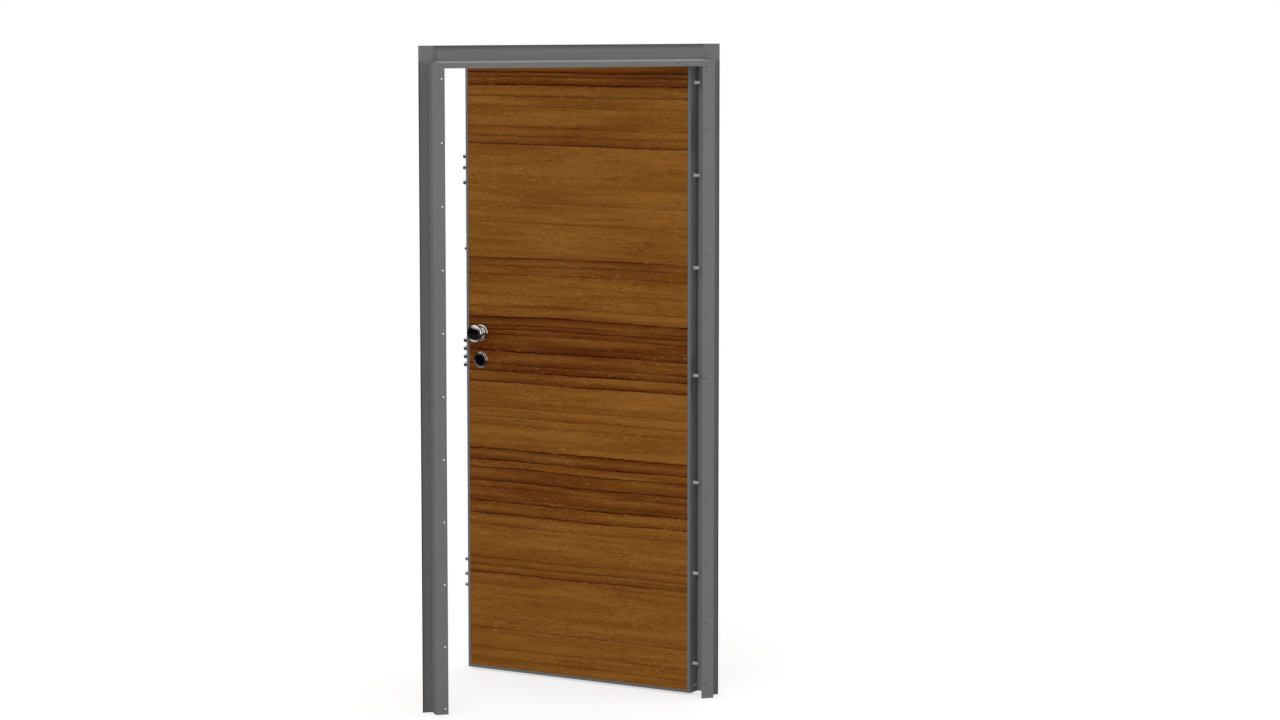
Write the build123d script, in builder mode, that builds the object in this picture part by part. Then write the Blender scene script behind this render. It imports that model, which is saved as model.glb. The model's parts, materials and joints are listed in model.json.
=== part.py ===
from build123d import *
import math
import os

# Security door standing open in its folded steel frame, seen from outside the dwelling.
# Lengths are in millimetres and angles in degrees.
# X runs along the wall, from the lock jamb to the hinge jamb.
# Y runs through the wall, from outside to inside, and Z points up.
# The origin is on the hinge jamb, at the middle of the flange that lies on the wall, at floor level.
# The leaf's pieces are drawn in the closed door and turned to the open position as they are saved.

# Doorway
clear_width = 866.0
clear_height = 2100.0

# Frame, folded from one thickness of sheet
frame_sheet = 2.0
bend_radius = 0.8
frame_depth = 50.0
stop_width = 42.0
wall_flange_width = 32.0
head_stop_height = 20.0
head_flange_height = 52.0
ear_reach = 21.2
ear_seam = 1.0
screw_hole_radius = 2.5
screws_per_jamb = 11
lock_screw_inset = 10.0
lock_screw_bottom_z = 19.0
lock_screw_top_inset = 33.0
hinge_screw_inset = 12.0
hinge_screw_bottom_z = 49.5
hinge_screw_top_inset = 2.5
head_screw_end_inset = 80.5
head_screw_inset = 10.0
head_screws = 3

# Seal behind the stop flanges
seal_width = 6.2
seal_thickness = 3.0
seal_inset = 0.8
seal_lip = 1.2

# Leaf, in the closed door
leaf_open_angle = 47.47
leaf_lap = 10.4
leaf_top_lap = 10.0
leaf_floor_gap = 8.0
leaf_face_gap = 8.4
leaf_edge_depth = 49.0
leaf_sheet = 1.5
back_sheet = 2.0
back_lip = 24.6
panel_thickness = 7.0
panel_play = 0.3
hinge_trim = 11.4
lock_trim = 10.0
top_trim = 10.0
bottom_trim = 9.5
inner_panel_margin = 31.0
inner_panel_bottom_margin = 9.0

# Hinges
axis_from_wall_face = 21.0
axis_from_web = 6.0
knuckle_radius = 9.5
knuckle_length = 72.0
knuckle_gap = 0.4
knuckle_cap = 8.0
pin_radius = 5.0
pin_clearance = 0.05
pin_head_radius = 7.5
pin_head_height = 3.0
hinge_wing = 5.0
frame_wing_width = 26.0
leaf_wing_reach = 40.0
upper_hinge_inset = 220.0
lower_hinge_inset = 252.0

# Dog pins on the hinge edge, and the strip that they enter
dog_pin_depth = 24.0
dog_pin_length = 17.0
dog_pin_base_radius = 6.8
dog_pin_tip_radius = 4.8
dog_pin_round = 1.0
dog_pin_top_inset = 65.5
dog_pin_bottom_inset = 97.5
dog_pin_pitch = 305.5
pitched_dog_pins = 3
keep_engagement = 5.4
keep_width = 30.0
keep_clearance = 6.2
keep_hole_shift = 1.5
keep_end_gap = 6.0

# Lock and bolts on the lock edge
bolt_depth = 24.0
bolt_chamfer = 1.2
bolt_seat = 30.0
bolt_clearance = 0.3
bolt_withdraw = 22.0
bolt_end_room = 5.0
strike_clearance = 3.0
strike_width = 33.0
strike_end = 10.0
strike_edge_gap = 0.4
strike_sweep_gap = 0.6
faceplate_width = 24.0
faceplate_thickness = 3.0
faceplate_end = 14.0
main_bolt_radius = 9.0
main_bolt_out = 23.5
main_bolt_pitch = 28.0
main_bolts_count = 4
main_lock_z = 1101.5
side_bolt_radius = 7.5
side_bolt_out = 23.5
side_bolt_short_pitch = 38.0
side_bolt_long_pitch = 51.2
upper_bolt_inset = 333.7
lower_bolt_inset = 283.5
single_bolt_radius = 6.5
single_bolt_out = 19.0
single_bolt_inset = 649.0
case_thickness = 26.0
case_depth = 78.0
case_wall = 2.0
case_end = 22.0
carriage_thickness = 12.0
carriage_length = 10.0

# Furniture, measured in from the lock edge
backset = 57.5
knob_z = 1176.0
cylinder_z = 1082.0
knob_rosette_radius = 29.0
knob_rosette_thickness = 8.0
knob_neck_radius = 11.0
knob_radius = 30.0
knob_widest = 36.0
knob_front = 52.0
defender_base_radius = 28.7
defender_base_thickness = 4.0
defender_step_radius = 24.0
defender_thickness = 9.0
disc_radius = 19.5
disc_proud = 3.0
disc_dome = 2.2
disc_play = 0.3
inner_rose_radius = 26.0
inner_rose_thickness = 8.0
lever_neck_radius = 9.0
lever_neck_length = 46.0
lever_length = 125.0
lever_height = 18.0
lever_thickness = 11.0
turn_stem_radius = 8.0
turn_stem_length = 16.0
turn_width = 34.0
turn_height = 15.0
turn_thickness = 9.0

# Drop seal under the leaf
drop_seal_depth = 32.0
drop_seal_width = 14.0
drop_seal_height = 28.0
drop_seal_wall = 2.0
drop_seal_play = 0.5
drop_seal_end_gap = 12.0
button_z = 30.6
button_width = 24.0
button_height = 9.0
button_plate = 1.5
plunger_radius = 3.0
plunger_length = 5.0

# Places that follow from the sizes
web_x = -wall_flange_width / 2
centre_x = web_x - stop_width - clear_width / 2
half_clear = clear_width / 2
half_wall_opening = half_clear + stop_width
half_frame = half_wall_opening + wall_flange_width
stop_face_y = -frame_depth
stop_back_y = stop_face_y + frame_sheet
web_top_z = clear_height + head_stop_height
frame_top_z = web_top_z + head_flange_height
half_leaf = half_clear + leaf_lap
leaf_bottom_z = leaf_floor_gap
leaf_top_z = clear_height + leaf_top_lap
leaf_face_y = stop_back_y + leaf_face_gap
panel_face_y = leaf_face_y + leaf_sheet
core_front_y = panel_face_y + panel_thickness
leaf_back_y = leaf_face_y + leaf_edge_depth
back_face_y = leaf_back_y + back_sheet
inner_face_y = back_face_y + panel_thickness
lock_edge_x = centre_x - half_leaf
hinge_edge_x = centre_x + half_leaf
bolt_y = leaf_face_y + bolt_depth
dog_pin_y = leaf_face_y + dog_pin_depth
axis_x = web_x + axis_from_web
axis_y = axis_from_wall_face
hinge_axis = Axis((axis_x, axis_y, 0), (0, 0, 1))
furniture_x = lock_edge_x + backset
upper_bolt_z = leaf_top_z - upper_bolt_inset
lower_bolt_z = leaf_bottom_z + lower_bolt_inset
single_bolt_z = leaf_top_z - single_bolt_inset
top_dog_pin_z = leaf_top_z - dog_pin_top_inset
bottom_dog_pin_z = leaf_bottom_z + dog_pin_bottom_inset
upper_hinge_z = leaf_top_z - upper_hinge_inset
lower_hinge_z = leaf_bottom_z + lower_hinge_inset

main_bolt_heights = [
    main_lock_z + (i - (main_bolts_count - 1) / 2) * main_bolt_pitch
    for i in range(main_bolts_count)
]
upper_bolt_heights = [
    upper_bolt_z,
    upper_bolt_z - side_bolt_short_pitch,
    upper_bolt_z - side_bolt_short_pitch - side_bolt_long_pitch,
]
lower_bolt_heights = [
    lower_bolt_z,
    lower_bolt_z + side_bolt_short_pitch,
    lower_bolt_z + side_bolt_short_pitch + side_bolt_long_pitch,
]
bolt_groups = {
    "main": (main_bolt_heights, main_bolt_radius, main_bolt_out),
    "upper": (upper_bolt_heights, side_bolt_radius, side_bolt_out),
    "lower": (lower_bolt_heights, side_bolt_radius, side_bolt_out),
    "single": ([single_bolt_z], single_bolt_radius, single_bolt_out),
}
# three pins are pitched up from the bottom, three down from the top, and one is halfway
dog_pin_heights = [bottom_dog_pin_z + i * dog_pin_pitch for i in range(pitched_dog_pins)]
dog_pin_heights += [top_dog_pin_z - i * dog_pin_pitch for i in range(pitched_dog_pins)]
dog_pin_heights += [(bottom_dog_pin_z + top_dog_pin_z) / 2]
hinge_heights = {
    "upper": upper_hinge_z,
    "middle": (upper_hinge_z + lower_hinge_z) / 2,
    "lower": lower_hinge_z,
}

os.makedirs("parts", exist_ok=True)


def front_plane(y):
    """A plane facing the street at depth y, on which a sketch is drawn in X and Z."""
    return Plane.XZ.offset(-y)


def side_plane(x):
    """A plane facing the hinge side at x, on which a sketch is drawn in Y and Z."""
    return Plane.YZ.offset(x)


def save(piece, name):
    """Label a piece that stays with the frame and write its file."""
    piece.part.label = name
    export_step(piece.part, f"parts/{name}.step")


def save_on_leaf(piece, name):
    """Turn a piece of the leaf from closed to the open position and write its file."""
    piece.part = piece.part.rotate(hinge_axis, -leaf_open_angle)
    save(piece, name)


def block(low, high, mode=Mode.ADD):
    """A plain block between two opposite corners."""
    size = [b - a for a, b in zip(low, high)]
    middle = [(a + b) / 2 for a, b in zip(low, high)]
    with Locations(tuple(middle)):
        Box(*size, mode=mode)


def rod(start, length, radius, direction, mode=Mode.ADD):
    """A round bar from a start point along a direction."""
    with BuildSketch(Plane(origin=start, z_dir=direction)) as end:
        Circle(radius)
    extrude(end.sketch, amount=length, mode=mode)


# Frame: two jambs and a head, each one folded sheet
def jamb_section(side):
    """The folded section of a jamb, seen from above. side is -1 at the lock and 1 at the hinges."""
    outer_x = centre_x + side * half_wall_opening
    inner_x = outer_x - side * frame_sheet
    points = [
        (centre_x + side * half_clear, stop_face_y),
        (outer_x, stop_face_y),
        (outer_x, 0),
        (centre_x + side * half_frame, 0),
        (centre_x + side * half_frame, frame_sheet),
        (inner_x, frame_sheet),
        (inner_x, stop_back_y),
        (centre_x + side * half_clear, stop_back_y),
    ]
    with BuildSketch(Plane.XY) as section:
        Polygon(*points)
        corners = section.vertices()
        outer_bends = [
            corners.sort_by_distance((outer_x, stop_face_y, 0))[0],
            corners.sort_by_distance((inner_x, frame_sheet, 0))[0],
        ]
        fillet(outer_bends, bend_radius + frame_sheet)
        corners = section.vertices()
        inner_bends = [
            corners.sort_by_distance((inner_x, stop_back_y, 0))[0],
            corners.sort_by_distance((outer_x, 0, 0))[0],
        ]
        fillet(inner_bends, bend_radius)
    return section.sketch


def screw_holes(places):
    """Round holes through a stop flange, given by their X and Z."""
    with BuildSketch(front_plane(stop_face_y)) as holes:
        with Locations(*places):
            Circle(screw_hole_radius)
    extrude(holes.sketch, amount=-frame_sheet, mode=Mode.SUBTRACT)


def jamb_ear(side):
    """The corner of the wall flange beside the head, in one piece with the jamb."""
    ear_x = centre_x + side * (half_wall_opening - ear_reach)
    outer_x = centre_x + side * half_frame
    block((min(ear_x, outer_x), 0, web_top_z), (max(ear_x, outer_x), frame_sheet, frame_top_z))


def spread(first, last, count):
    """Evenly spaced places from first to last."""
    return [first + (last - first) * i / (count - 1) for i in range(count)]


lock_screw_x = centre_x - half_clear - lock_screw_inset
hinge_screw_x = centre_x + half_clear + hinge_screw_inset
head_screw_reach = half_clear - head_screw_end_inset
lock_screws = [
    (lock_screw_x, z)
    for z in spread(lock_screw_bottom_z, clear_height - lock_screw_top_inset, screws_per_jamb)
]
hinge_screws = [
    (hinge_screw_x, z)
    for z in spread(hinge_screw_bottom_z, clear_height - hinge_screw_top_inset, screws_per_jamb)
]
head_screw_places = [
    (x, clear_height + head_screw_inset)
    for x in spread(centre_x - head_screw_reach, centre_x + head_screw_reach, head_screws)
]

with BuildPart() as lock_jamb:
    extrude(jamb_section(-1), amount=web_top_z)
    jamb_ear(-1)
    screw_holes(lock_screws)
save(lock_jamb, "lock_jamb")

with BuildPart() as hinge_jamb:
    extrude(jamb_section(1), amount=web_top_z)
    jamb_ear(1)
    screw_holes(hinge_screws)
save(hinge_jamb, "hinge_jamb")

with BuildPart() as head:
    half_inner = half_wall_opening - frame_sheet
    half_flange = half_wall_opening - ear_reach - ear_seam
    with BuildSketch(side_plane(centre_x - half_inner)):
        with BuildLine():
            Polyline(
                (stop_face_y, clear_height),
                (stop_back_y, clear_height),
                (stop_back_y, web_top_z - frame_sheet),
                (frame_sheet, web_top_z - frame_sheet),
                (frame_sheet, frame_top_z),
                (0, frame_top_z),
                (0, web_top_z),
                (stop_face_y, web_top_z),
                close=True,
            )
        make_face()
    extrude(amount=2 * half_inner)
    bends = head.edges().filter_by(Axis.X)
    outer_bends = [
        bends.sort_by_distance((centre_x, stop_face_y, web_top_z))[0],
        bends.sort_by_distance((centre_x, frame_sheet, web_top_z - frame_sheet))[0],
    ]
    fillet(outer_bends, bend_radius + frame_sheet)
    bends = head.edges().filter_by(Axis.X)
    inner_bends = [
        bends.sort_by_distance((centre_x, stop_back_y, web_top_z - frame_sheet))[0],
        bends.sort_by_distance((centre_x, 0, web_top_z))[0],
    ]
    fillet(inner_bends, bend_radius)
    for side in (-1, 1):
        # the ends stop at the jambs' stop flanges and at their corner ears
        stop_end = centre_x + side * half_clear
        flange_end = centre_x + side * half_flange
        end = centre_x + side * half_inner
        block(
            (min(stop_end, end), stop_face_y, clear_height),
            (max(stop_end, end), stop_back_y, web_top_z),
            Mode.SUBTRACT,
        )
        block(
            (min(flange_end, end), -bend_radius, web_top_z),
            (max(flange_end, end), frame_sheet, frame_top_z),
            Mode.SUBTRACT,
        )
    # the corners of the web follow the bends inside the jambs
    web_corners = [
        head.edges().filter_by(Axis.Z).sort_by_distance((end_x, stop_back_y, web_top_z))[0]
        for end_x in (centre_x - half_inner, centre_x + half_inner)
    ]
    fillet(web_corners, bend_radius)
    screw_holes(head_screw_places)
save(head, "head")


# Seals: a flat strip with a raised lip, on the back of each stop flange
def seal_section(side):
    """The strip's section, with the rounded lip in the middle of its width."""
    first_x = centre_x + side * (half_clear + seal_inset)
    last_x = first_x + side * seal_width
    middle_x = (first_x + last_x) / 2
    with Locations((middle_x, stop_back_y + (seal_thickness - seal_lip) / 2)):
        Rectangle(seal_width, seal_thickness - seal_lip)
    with Locations((middle_x, stop_back_y + seal_thickness - seal_lip)):
        Circle(seal_lip)


for side, name in ((-1, "lock_jamb_seal"), (1, "hinge_jamb_seal")):
    with BuildPart() as jamb_seal:
        with BuildSketch(Plane.XY):
            seal_section(side)
        extrude(amount=clear_height + seal_inset + seal_width)
    save(jamb_seal, name)

with BuildPart() as head_seal:
    seal_mid_z = clear_height + seal_inset + seal_width / 2
    with BuildSketch(side_plane(centre_x - half_clear - seal_inset)):
        with Locations((stop_back_y + (seal_thickness - seal_lip) / 2, seal_mid_z)):
            Rectangle(seal_thickness - seal_lip, seal_width)
        with Locations((stop_back_y + seal_thickness - seal_lip, seal_mid_z)):
            Circle(seal_lip)
    extrude(amount=2 * (half_clear + seal_inset))
save(head_seal, "head_seal")

# Channel folded from the frame's sheet, on the hinge jamb's web and open towards it.
# Its face is drilled where the dog pins enter, a little inward, because they leave on an arc.
keep_back_x = web_x - frame_sheet
keep_face_x = hinge_edge_x + dog_pin_length - keep_engagement
keep_front_y = dog_pin_y - keep_width / 2
keep_rear_y = dog_pin_y + keep_width / 2
keep_points = [
    (keep_back_x, keep_front_y),
    (keep_face_x, keep_front_y),
    (keep_face_x, keep_rear_y),
    (keep_back_x, keep_rear_y),
    (keep_back_x, keep_rear_y - frame_sheet),
    (keep_face_x + frame_sheet, keep_rear_y - frame_sheet),
    (keep_face_x + frame_sheet, keep_front_y + frame_sheet),
    (keep_back_x, keep_front_y + frame_sheet),
]
keep_length = web_top_z - frame_sheet - 2 * keep_end_gap
with BuildPart() as pin_keep_strip:
    with BuildSketch(Plane.XY.offset(keep_end_gap)) as keep_section:
        Polygon(*keep_points)
        corners = keep_section.vertices()
        face_corners = [
            corners.sort_by_distance((keep_face_x, y, keep_end_gap))[0]
            for y in (keep_front_y, keep_rear_y)
        ]
        fillet(face_corners, bend_radius + frame_sheet)
    extrude(amount=keep_length)
    with BuildSketch(side_plane(keep_face_x)):
        with Locations(*[(dog_pin_y + keep_hole_shift, z) for z in dog_pin_heights]):
            Circle(dog_pin_tip_radius + keep_clearance)
    extrude(amount=frame_sheet, mode=Mode.SUBTRACT)
save(pin_keep_strip, "pin_keep_strip")

# Strike plates on the lock jamb's web, one for each group of bolts.
# Each is as thick as the bolts allow that swing past it before they are thrown in full.
with BuildPart() as strike_plates:
    lock_web_x = centre_x - half_wall_opening + frame_sheet
    strike_back_y = -bend_radius - strike_edge_gap
    for heights, radius, reach in bolt_groups.values():
        tip_x = lock_edge_x - reach
        tip_y = bolt_y - radius + bolt_chamfer
        swept_radius = math.hypot(axis_x - tip_x, axis_y - tip_y)
        strike_face_x = axis_x - swept_radius - strike_sweep_gap
        slot_radius = radius + strike_clearance
        margin = slot_radius + strike_end
        block(
            (lock_web_x, strike_back_y - strike_width, min(heights) - margin),
            (strike_face_x, strike_back_y, max(heights) + margin),
        )
        with BuildSketch(side_plane(lock_web_x)):
            for z in (min(heights), max(heights)):
                with Locations((bolt_y, z)):
                    Circle(slot_radius)
            if len(heights) > 1:
                with Locations((bolt_y, (min(heights) + max(heights)) / 2)):
                    Rectangle(2 * slot_radius, max(heights) - min(heights))
        extrude(amount=strike_face_x - lock_web_x, mode=Mode.SUBTRACT)
save(strike_plates, "strike_plates")


# Leaf: a filled steel box, its edge profiles, its back sheet and two wooden panels
def edge_profile(corners):
    """A folded edge, cut to a mitre at both ends.

    corners are the four corners of its front strip, in X and Z, outer edge first.
    """
    with BuildSketch(front_plane(leaf_face_y)) as strip:
        Polygon(*corners)
    extrude(strip.sketch, amount=-leaf_edge_depth)
    block(
        (lock_edge_x + leaf_sheet, panel_face_y, leaf_bottom_z + leaf_sheet),
        (hinge_edge_x - leaf_sheet, leaf_back_y, leaf_top_z - leaf_sheet),
        Mode.SUBTRACT,
    )


def faceplate_outline(heights):
    """The outline of a faceplate round a group of bolts, in Y and Z."""
    middle = (min(heights) + max(heights)) / 2
    length = max(heights) - min(heights) + 2 * faceplate_end
    with Locations((bolt_y, middle)):
        Rectangle(faceplate_width, length)


def bolt_holes(heights, radius, depth):
    """Round holes from the lock edge into the leaf."""
    with BuildSketch(side_plane(lock_edge_x)) as holes:
        with Locations(*[(bolt_y, z) for z in heights]):
            Circle(radius + bolt_clearance)
    extrude(holes.sketch, amount=depth, mode=Mode.SUBTRACT)


outer_corners = [
    (lock_edge_x, leaf_bottom_z),
    (hinge_edge_x, leaf_bottom_z),
    (hinge_edge_x, leaf_top_z),
    (lock_edge_x, leaf_top_z),
]
inner_corners = [
    (lock_edge_x + lock_trim, leaf_bottom_z + bottom_trim),
    (hinge_edge_x - hinge_trim, leaf_bottom_z + bottom_trim),
    (hinge_edge_x - hinge_trim, leaf_top_z - top_trim),
    (lock_edge_x + lock_trim, leaf_top_z - top_trim),
]
drop_seal_y = leaf_face_y + drop_seal_depth
drop_seal_low = (
    lock_edge_x + drop_seal_end_gap,
    drop_seal_y - drop_seal_width / 2,
    leaf_bottom_z,
)
drop_seal_high = (
    hinge_edge_x - drop_seal_end_gap,
    drop_seal_y + drop_seal_width / 2,
    leaf_bottom_z + drop_seal_height,
)

with BuildPart() as bottom_edge_profile:
    edge_profile([outer_corners[0], outer_corners[1], inner_corners[1], inner_corners[0]])
    block(drop_seal_low, drop_seal_high, Mode.SUBTRACT)
save_on_leaf(bottom_edge_profile, "bottom_edge_profile")

with BuildPart() as hinge_edge_profile:
    edge_profile([outer_corners[1], outer_corners[2], inner_corners[2], inner_corners[1]])
save_on_leaf(hinge_edge_profile, "hinge_edge_profile")

with BuildPart() as top_edge_profile:
    edge_profile([outer_corners[2], outer_corners[3], inner_corners[3], inner_corners[2]])
save_on_leaf(top_edge_profile, "top_edge_profile")

with BuildPart() as lock_edge_profile:
    edge_profile([outer_corners[3], outer_corners[0], inner_corners[0], inner_corners[3]])
    with BuildSketch(side_plane(lock_edge_x)):
        for heights, _, _ in bolt_groups.values():
            faceplate_outline(heights)
    extrude(amount=leaf_sheet, mode=Mode.SUBTRACT)
save_on_leaf(lock_edge_profile, "lock_edge_profile")

case_low_z = min(main_bolt_heights) - main_bolt_radius - case_end
case_high_z = max(main_bolt_heights) + main_bolt_radius + case_end
case_front_x = lock_edge_x + faceplate_thickness
case_low = (case_front_x, bolt_y - case_thickness / 2, case_low_z)
case_high = (case_front_x + case_depth, bolt_y + case_thickness / 2, case_high_z)

with BuildPart() as leaf_core:
    block(
        (lock_edge_x + leaf_sheet, core_front_y, leaf_bottom_z + leaf_sheet),
        (hinge_edge_x - leaf_sheet, leaf_back_y, leaf_top_z - leaf_sheet),
    )
    with BuildSketch(side_plane(lock_edge_x)):
        for heights, _, _ in bolt_groups.values():
            faceplate_outline(heights)
    extrude(amount=faceplate_thickness, mode=Mode.SUBTRACT)
    block(case_low, case_high, Mode.SUBTRACT)
    block(drop_seal_low, drop_seal_high, Mode.SUBTRACT)
    for name, (heights, radius, _) in bolt_groups.items():
        if name != "main":
            bolt_holes(heights, radius, bolt_seat + bolt_withdraw + bolt_end_room)
save_on_leaf(leaf_core, "leaf_core")

with BuildPart() as inner_skin:
    block(
        (lock_edge_x - back_lip, leaf_back_y, leaf_bottom_z),
        (hinge_edge_x + back_lip, back_face_y, leaf_top_z + back_lip),
    )
save_on_leaf(inner_skin, "inner_skin")

with BuildPart() as outer_panel:
    inset = leaf_sheet + panel_play
    block(
        (lock_edge_x + inset, panel_face_y, leaf_bottom_z + inset),
        (hinge_edge_x - inset, core_front_y, leaf_top_z - inset),
    )
save_on_leaf(outer_panel, "outer_panel")

with BuildPart() as inner_panel:
    side_inset = inner_panel_margin - back_lip
    block(
        (lock_edge_x + side_inset, back_face_y, leaf_bottom_z + inner_panel_bottom_margin),
        (hinge_edge_x - side_inset, inner_face_y, leaf_top_z - side_inset),
    )
save_on_leaf(inner_panel, "inner_panel")

# Drop seal: an open channel in the leaf's underside with a rubber blade drawn up inside it
with BuildPart() as drop_seal:
    block(drop_seal_low, drop_seal_high)
    slot_half = drop_seal_width / 2 - drop_seal_wall
    block(
        (drop_seal_low[0], drop_seal_y - slot_half, leaf_bottom_z),
        (drop_seal_high[0], drop_seal_y + slot_half, leaf_bottom_z + drop_seal_height - drop_seal_wall),
        Mode.SUBTRACT,
    )
save_on_leaf(drop_seal, "drop_seal")

with BuildPart() as drop_seal_blade:
    blade_half = slot_half - drop_seal_play
    block(
        (drop_seal_low[0], drop_seal_y - blade_half, leaf_bottom_z + drop_seal_play),
        (drop_seal_high[0], drop_seal_y + blade_half, leaf_bottom_z + drop_seal_height - drop_seal_wall),
    )
save_on_leaf(drop_seal_blade, "drop_seal_blade")

with BuildPart() as drop_seal_button:
    block(
        (hinge_edge_x, drop_seal_y - button_width / 2, button_z - button_height / 2),
        (hinge_edge_x + button_plate, drop_seal_y + button_width / 2, button_z + button_height / 2),
    )
    rod((hinge_edge_x + button_plate, drop_seal_y, button_z), plunger_length, plunger_radius, (1, 0, 0))
save_on_leaf(drop_seal_button, "drop_seal_button")

# Dog pins: seven tapered studs along the hinge edge
with BuildPart() as dog_pins:
    for z in dog_pin_heights:
        foot = Plane(origin=(hinge_edge_x, dog_pin_y, z), z_dir=(1, 0, 0))
        with BuildSketch(foot):
            Circle(dog_pin_base_radius)
        with BuildSketch(foot.offset(dog_pin_length)):
            Circle(dog_pin_tip_radius)
        loft()
    tips = dog_pins.faces().filter_by(Axis.X).sort_by(Axis.X)[-len(dog_pin_heights):]
    fillet(tips.edges(), dog_pin_round)
save_on_leaf(dog_pins, "dog_pins")

# Lock: faceplates set flush in the lock edge, a lock case behind the main one, and the bolts
for name, (heights, radius, _) in bolt_groups.items():
    with BuildPart() as faceplate:
        with BuildSketch(side_plane(lock_edge_x)):
            faceplate_outline(heights)
        extrude(amount=faceplate_thickness)
        bolt_holes(heights, radius, faceplate_thickness)
    save_on_leaf(faceplate, f"{name}_faceplate")

with BuildPart() as main_lock_case:
    block(case_low, case_high)
    block(
        [low + case_wall for low in case_low],
        [high - case_wall for high in case_high],
        Mode.SUBTRACT,
    )
    bolt_holes(main_bolt_heights, main_bolt_radius, faceplate_thickness + case_wall)
save_on_leaf(main_lock_case, "main_lock_case")

for name, (heights, radius, bolt_out) in bolt_groups.items():
    with BuildPart() as bolts:
        for z in heights:
            tip = (lock_edge_x - bolt_out, bolt_y, z)
            rod(tip, bolt_out + bolt_seat, radius, (1, 0, 0))
        tips = bolts.faces().filter_by(Axis.X).sort_by(Axis.X)[: len(heights)]
        chamfer(tips.edges(), bolt_chamfer)
        if name == "main":
            # a flat carriage joins the four main bolts inside the lock case
            block(
                (
                    lock_edge_x + bolt_seat,
                    bolt_y - carriage_thickness / 2,
                    min(heights) - radius,
                ),
                (
                    lock_edge_x + bolt_seat + carriage_length,
                    bolt_y + carriage_thickness / 2,
                    max(heights) + radius,
                ),
            )
    save_on_leaf(bolts, f"{name}_bolt" if len(heights) == 1 else f"{name}_bolts")

# Hinges: the lower half is screwed to the frame and carries the pin, the upper half is on the leaf
for name, hinge_z in hinge_heights.items():
    with BuildPart() as frame_half:
        with BuildSketch(Plane.XY.offset(hinge_z - knuckle_length)):
            with Locations((axis_x, axis_y)):
                Circle(knuckle_radius)
            with Locations((web_x + axis_from_web / 2 + frame_wing_width / 2, frame_sheet + hinge_wing / 2)):
                Rectangle(frame_wing_width, hinge_wing)
            make_hull()
        extrude(amount=knuckle_length - knuckle_gap / 2)
        rod(
            (axis_x, axis_y, hinge_z - knuckle_length),
            knuckle_length,
            pin_radius + pin_clearance,
            (0, 0, 1),
            Mode.SUBTRACT,
        )
    save(frame_half, f"{name}_hinge_frame_half")

    with BuildPart() as leaf_half:
        with BuildSketch(Plane.XY.offset(hinge_z + knuckle_gap / 2)):
            with Locations((axis_x, axis_y)):
                Circle(knuckle_radius)
            with Locations((axis_x - leaf_wing_reach / 2, back_face_y + hinge_wing / 2)):
                Rectangle(leaf_wing_reach, hinge_wing)
        extrude(amount=knuckle_length - knuckle_gap / 2)
        rod(
            (axis_x, axis_y, hinge_z),
            knuckle_length - knuckle_cap,
            pin_radius + pin_clearance,
            (0, 0, 1),
            Mode.SUBTRACT,
        )
    save_on_leaf(leaf_half, f"{name}_hinge_leaf_half")

    with BuildPart() as hinge_pin:
        foot_z = hinge_z - knuckle_length
        rod((axis_x, axis_y, foot_z), 2 * knuckle_length - knuckle_cap - knuckle_gap, pin_radius, (0, 0, 1))
        rod((axis_x, axis_y, foot_z - pin_head_height), pin_head_height, pin_head_radius, (0, 0, 1))
    save(hinge_pin, f"{name}_hinge_pin")


# Outer furniture, turned about an axis that points at the street
def turned_plane(y, z):
    """A plane through a turned piece's axis. Sketches on it use radius and height proud of y."""
    return Plane(origin=(furniture_x, y, z), x_dir=(1, 0, 0), z_dir=(0, 0, 1))


with BuildPart() as knob_rosette:
    with BuildSketch(front_plane(panel_face_y)):
        with Locations((furniture_x, knob_z)):
            Circle(knob_rosette_radius)
    extrude(amount=knob_rosette_thickness)
    fillet(knob_rosette.faces().sort_by(Axis.Y)[0].edges(), knob_rosette_thickness / 3)
save_on_leaf(knob_rosette, "knob_rosette")

with BuildPart() as knob:
    knob_base_y = panel_face_y - knob_rosette_thickness
    neck_end = -(knob_widest - knob_rosette_thickness) / 2
    widest = -(knob_widest - knob_rosette_thickness)
    front = -(knob_front - knob_rosette_thickness)
    with BuildSketch(turned_plane(knob_base_y, knob_z)):
        with BuildLine():
            Line((0, 0), (knob_neck_radius, 0))
            Line((knob_neck_radius, 0), (knob_neck_radius, neck_end))
            Spline(
                (knob_neck_radius, neck_end),
                (knob_radius, widest),
                tangents=((0, -1), (0, -1)),
            )
            Spline((knob_radius, widest), (0, front), tangents=((0, -1), (-1, 0)))
            Line((0, front), (0, 0))
        make_face()
    revolve(axis=Axis((furniture_x, 0, knob_z), (0, 1, 0)))
save_on_leaf(knob, "knob")

with BuildPart() as defender_ring:
    with BuildSketch(front_plane(panel_face_y)):
        with Locations((furniture_x, cylinder_z)):
            Circle(defender_base_radius)
    extrude(amount=defender_base_thickness)
    with BuildSketch(front_plane(panel_face_y - defender_base_thickness)):
        with Locations((furniture_x, cylinder_z)):
            Circle(defender_step_radius)
    extrude(amount=defender_thickness - defender_base_thickness)
    rims = defender_ring.edges().filter_by(GeomType.CIRCLE).sort_by(Axis.Y)
    fillet(rims[0], (defender_thickness - defender_base_thickness) / 3)
    with BuildSketch(front_plane(panel_face_y - defender_thickness)):
        with Locations((furniture_x, cylinder_z)):
            Circle(disc_radius + disc_play)
    extrude(amount=-(defender_thickness - defender_base_thickness), mode=Mode.SUBTRACT)
save_on_leaf(defender_ring, "defender_ring")

with BuildPart() as defender_disc:
    disc_base_y = panel_face_y - defender_base_thickness
    disc_height = defender_thickness - defender_base_thickness + disc_proud
    with BuildSketch(turned_plane(disc_base_y, cylinder_z)):
        with BuildLine():
            Polyline((0, -disc_height), (0, 0), (disc_radius, 0), (disc_radius, disc_dome - disc_height))
            TangentArc((0, -disc_height), (disc_radius, disc_dome - disc_height), tangent=(1, 0))
        make_face()
    revolve(axis=Axis((furniture_x, 0, cylinder_z), (0, 1, 0)))
save_on_leaf(defender_disc, "defender_disc")

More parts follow.
